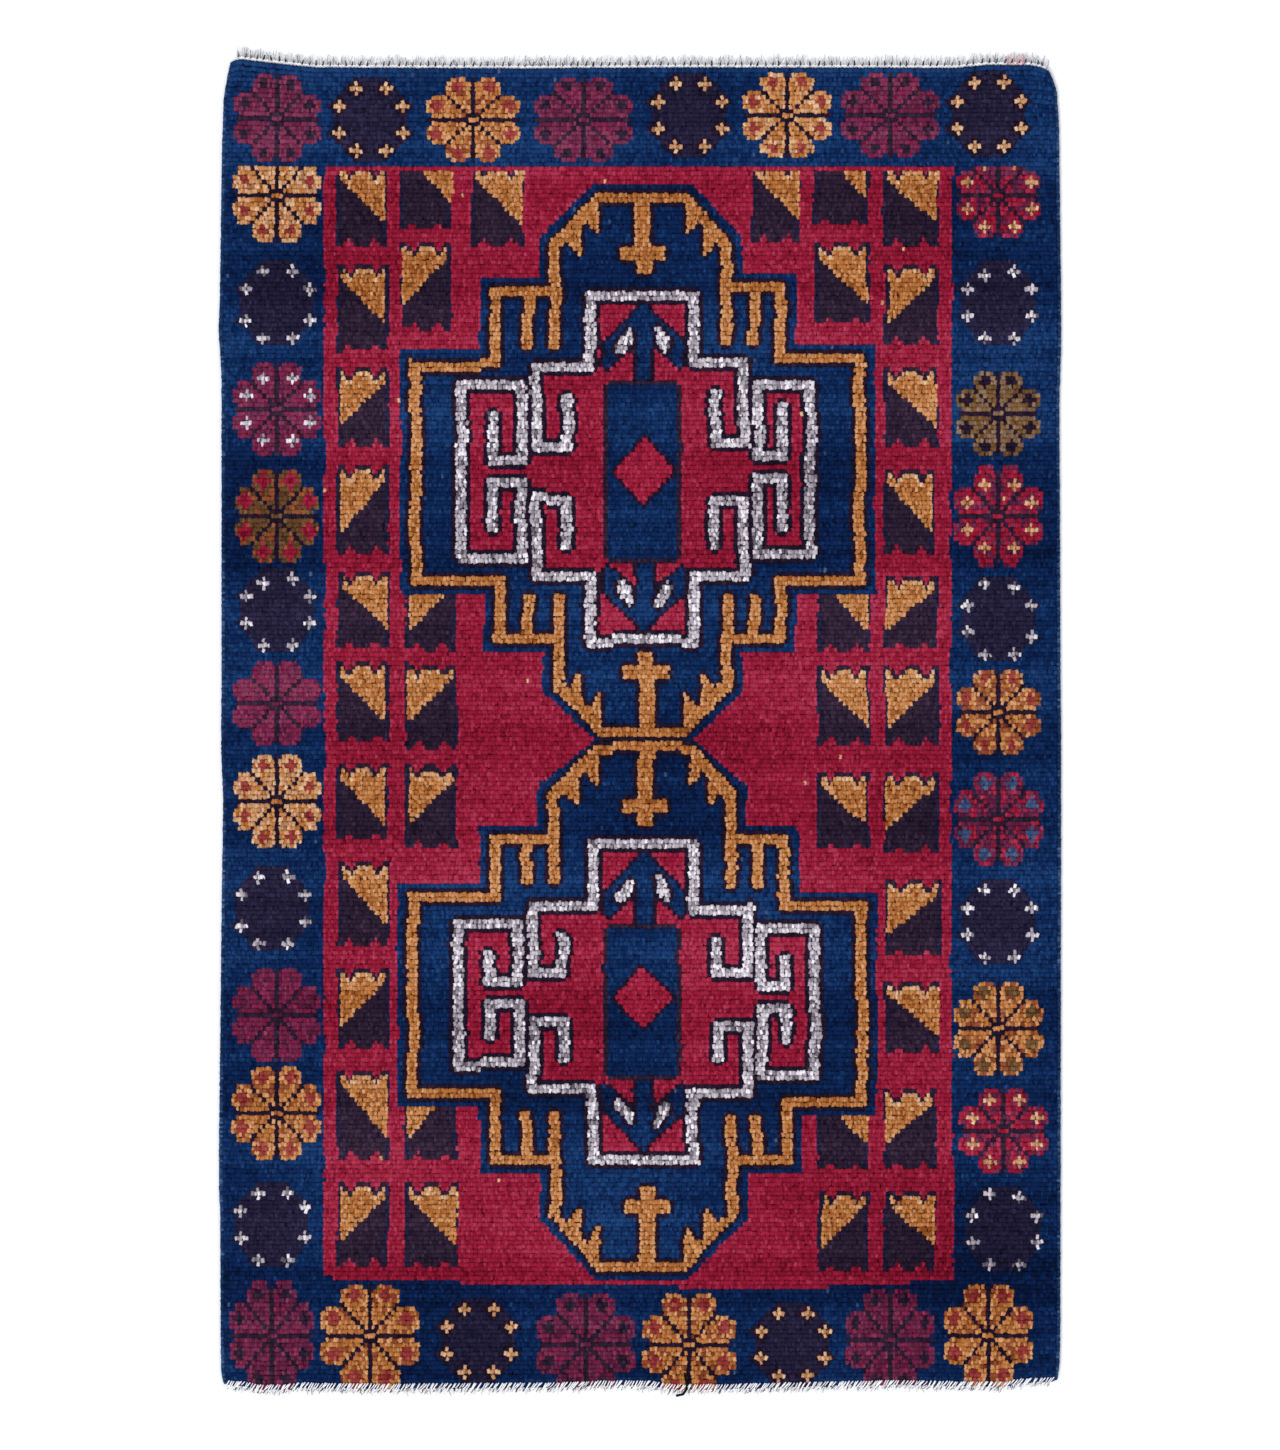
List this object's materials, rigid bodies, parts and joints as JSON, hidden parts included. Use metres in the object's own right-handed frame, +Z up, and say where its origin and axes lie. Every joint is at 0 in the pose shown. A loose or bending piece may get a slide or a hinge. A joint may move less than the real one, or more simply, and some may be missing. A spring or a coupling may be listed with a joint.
{
  "type": "area rug",
  "caption": "Small hand-knotted wool area rug: two linked medallions on a field, flower border, overcast sides and short fringed ends.",
  "frame": {"origin": "on the floor under the middle of the rug's outline, fringes included", "axes": "+X to the right and +Y towards the top end as the pattern is read, +Z up out of the pile"},
  "size_m": [0.84, 1.341, 0.0095],
  "materials": {
    "navy_pile_wool": "cut wool pile, matt",
    "crimson_pile_wool": "cut wool pile, matt",
    "gold_pile_wool": "cut wool pile, matt",
    "ivory_pile_wool": "cut wool pile, matt",
    "plum_pile_wool": "cut wool pile, matt",
    "tan_pile_wool": "cut wool pile, matt",
    "undyed_warp_wool": "plied undyed warp yarn",
    "woven_ground": "plain weave of warps and wefts",
    "navy_overcast_wool": "wrapped wool yarn"
  },
  "bodies": {
    "root": {"border_pile_bottom": "navy_pile_wool", "border_pile_left": "navy_pile_wool", "border_pile_right": "navy_pile_wool", "border_pile_top": "navy_pile_wool", "centre_panel_lower": "navy_pile_wool", "centre_panel_upper": "navy_pile_wool", "diamond_lower": "crimson_pile_wool", "diamond_upper": "crimson_pile_wool", "field_pile": "crimson_pile_wool", "flower_bottom_1": "plum_pile_wool", "flower_bottom_2": "gold_pile_wool", "flower_bottom_3": "plum_pile_wool", "flower_bottom_4": "gold_pile_wool", "flower_bottom_5": "plum_pile_wool", "flower_bottom_6": "gold_pile_wool", "flower_left_1": "gold_pile_wool", "flower_left_2": "crimson_pile_wool", "flower_left_3": "crimson_pile_wool", "flower_left_4": "plum_pile_wool", "flower_left_5": "gold_pile_wool", "flower_left_6": "crimson_pile_wool", "flower_left_7": "gold_pile_wool", "flower_right_1": "crimson_pile_wool", "flower_right_2": "tan_pile_wool", "flower_right_3": "crimson_pile_wool", "flower_right_4": "gold_pile_wool", "flower_right_5": "crimson_pile_wool", "flower_right_6": "gold_pile_wool", "flower_right_7": "crimson_pile_wool", "flower_top_1": "plum_pile_wool", "flower_top_2": "gold_pile_wool", "flower_top_3": "plum_pile_wool", "flower_top_4": "gold_pile_wool", "flower_top_5": "plum_pile_wool", "gold_line_lower": "gold_pile_wool", "gold_line_upper": "gold_pile_wool", "ground_cloth": "woven_ground", "heart_lower": "crimson_pile_wool", "heart_upper": "crimson_pile_wool", "ivory_crown_bottom_lower": "ivory_pile_wool", "ivory_crown_bottom_upper": "ivory_pile_wool", "ivory_crown_top_lower": "ivory_pile_wool", "ivory_crown_top_upper": "ivory_pile_wool", "ivory_scroll_left_lower": "ivory_pile_wool", "ivory_scroll_left_upper": "ivory_pile_wool", "ivory_scroll_right_lower": "ivory_pile_wool", "ivory_scroll_right_upper": "ivory_pile_wool", "medallion_edging": "navy_pile_wool", "medallion_ground_lower": "navy_pile_wool", "medallion_ground_upper": "navy_pile_wool", "selvedge_core_left": "undyed_warp_wool", "selvedge_core_right": "undyed_warp_wool", "selvedge_wrap_left": "navy_overcast_wool", "selvedge_wrap_right": "navy_overcast_wool", "twined_cord_bottom": "undyed_warp_wool", "twined_cord_top": "undyed_warp_wool", "warp_fringe_bottom": "undyed_warp_wool", "warp_fringe_top": "undyed_warp_wool"}
  },
  "joints": []
}
